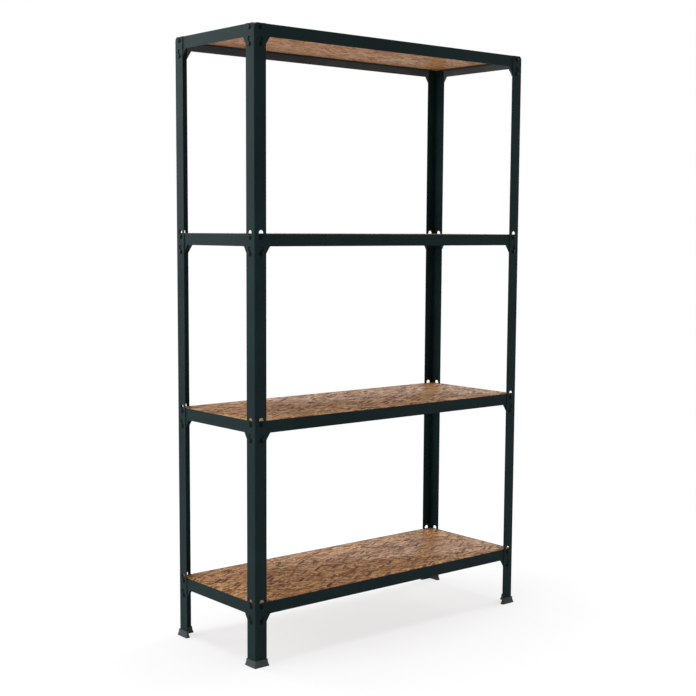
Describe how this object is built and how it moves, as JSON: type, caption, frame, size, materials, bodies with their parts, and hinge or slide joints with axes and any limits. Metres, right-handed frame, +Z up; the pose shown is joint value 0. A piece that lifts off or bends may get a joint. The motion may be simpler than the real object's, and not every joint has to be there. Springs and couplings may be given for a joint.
{
  "type": "boltless shelving unit",
  "caption": "Boltless angle-post shelving unit: folded steel beams hang by studs in keyholes and carry loose strand boards; plastic feet.",
  "frame": {"origin": "on the floor at the middle of the footprint", "axes": "+X along the width, +Y from the front to the rear, +Z up"},
  "size_m": [0.809, 0.309, 1.36],
  "materials": {
    "powder_coat": "dark anthracite powder coat with a green-blue cast, satin",
    "stud_finish": "dark coated stud heads, slightly glossier than the posts",
    "strand_board": "raw oriented strand board, tan to orange-brown flakes",
    "foot_plastic": "dark grey moulded plastic"
  },
  "bodies": {
    "frame": {"front_left_post": "powder_coat", "front_right_post": "powder_coat", "rear_right_post": "powder_coat", "rear_left_post": "powder_coat", "front_left_foot": "foot_plastic", "front_right_foot": "foot_plastic", "rear_right_foot": "foot_plastic", "rear_left_foot": "foot_plastic", "top_front_beam": "powder_coat", "top_right_beam": "powder_coat", "top_rear_beam": "powder_coat", "top_left_beam": "powder_coat", "top_studs": "stud_finish", "upper_front_beam": "powder_coat", "upper_right_beam": "powder_coat", "upper_rear_beam": "powder_coat", "upper_left_beam": "powder_coat", "upper_studs": "stud_finish", "lower_front_beam": "powder_coat", "lower_right_beam": "powder_coat", "lower_rear_beam": "powder_coat", "lower_left_beam": "powder_coat", "lower_studs": "stud_finish", "bottom_front_beam": "powder_coat", "bottom_right_beam": "powder_coat", "bottom_rear_beam": "powder_coat", "bottom_left_beam": "powder_coat", "bottom_studs": "stud_finish"},
    "top_shelf_board": {"top_board": "strand_board"},
    "upper_shelf_board": {"upper_board": "strand_board"},
    "lower_shelf_board": {"lower_board": "strand_board"},
    "bottom_shelf_board": {"bottom_board": "strand_board"}
  },
  "joints": [
    {"name": "top_board_lift", "type": "slide", "parent": "frame", "child": "top_shelf_board", "axis": [0, 0, 1], "range_m": [0, 0.1]},
    {"name": "upper_board_lift", "type": "slide", "parent": "frame", "child": "upper_shelf_board", "axis": [0, 0, 1], "range_m": [0, 0.1]},
    {"name": "lower_board_lift", "type": "slide", "parent": "frame", "child": "lower_shelf_board", "axis": [0, 0, 1], "range_m": [0, 0.1]},
    {"name": "bottom_board_lift", "type": "slide", "parent": "frame", "child": "bottom_shelf_board", "axis": [0, 0, 1], "range_m": [0, 0.1]}
  ]
}
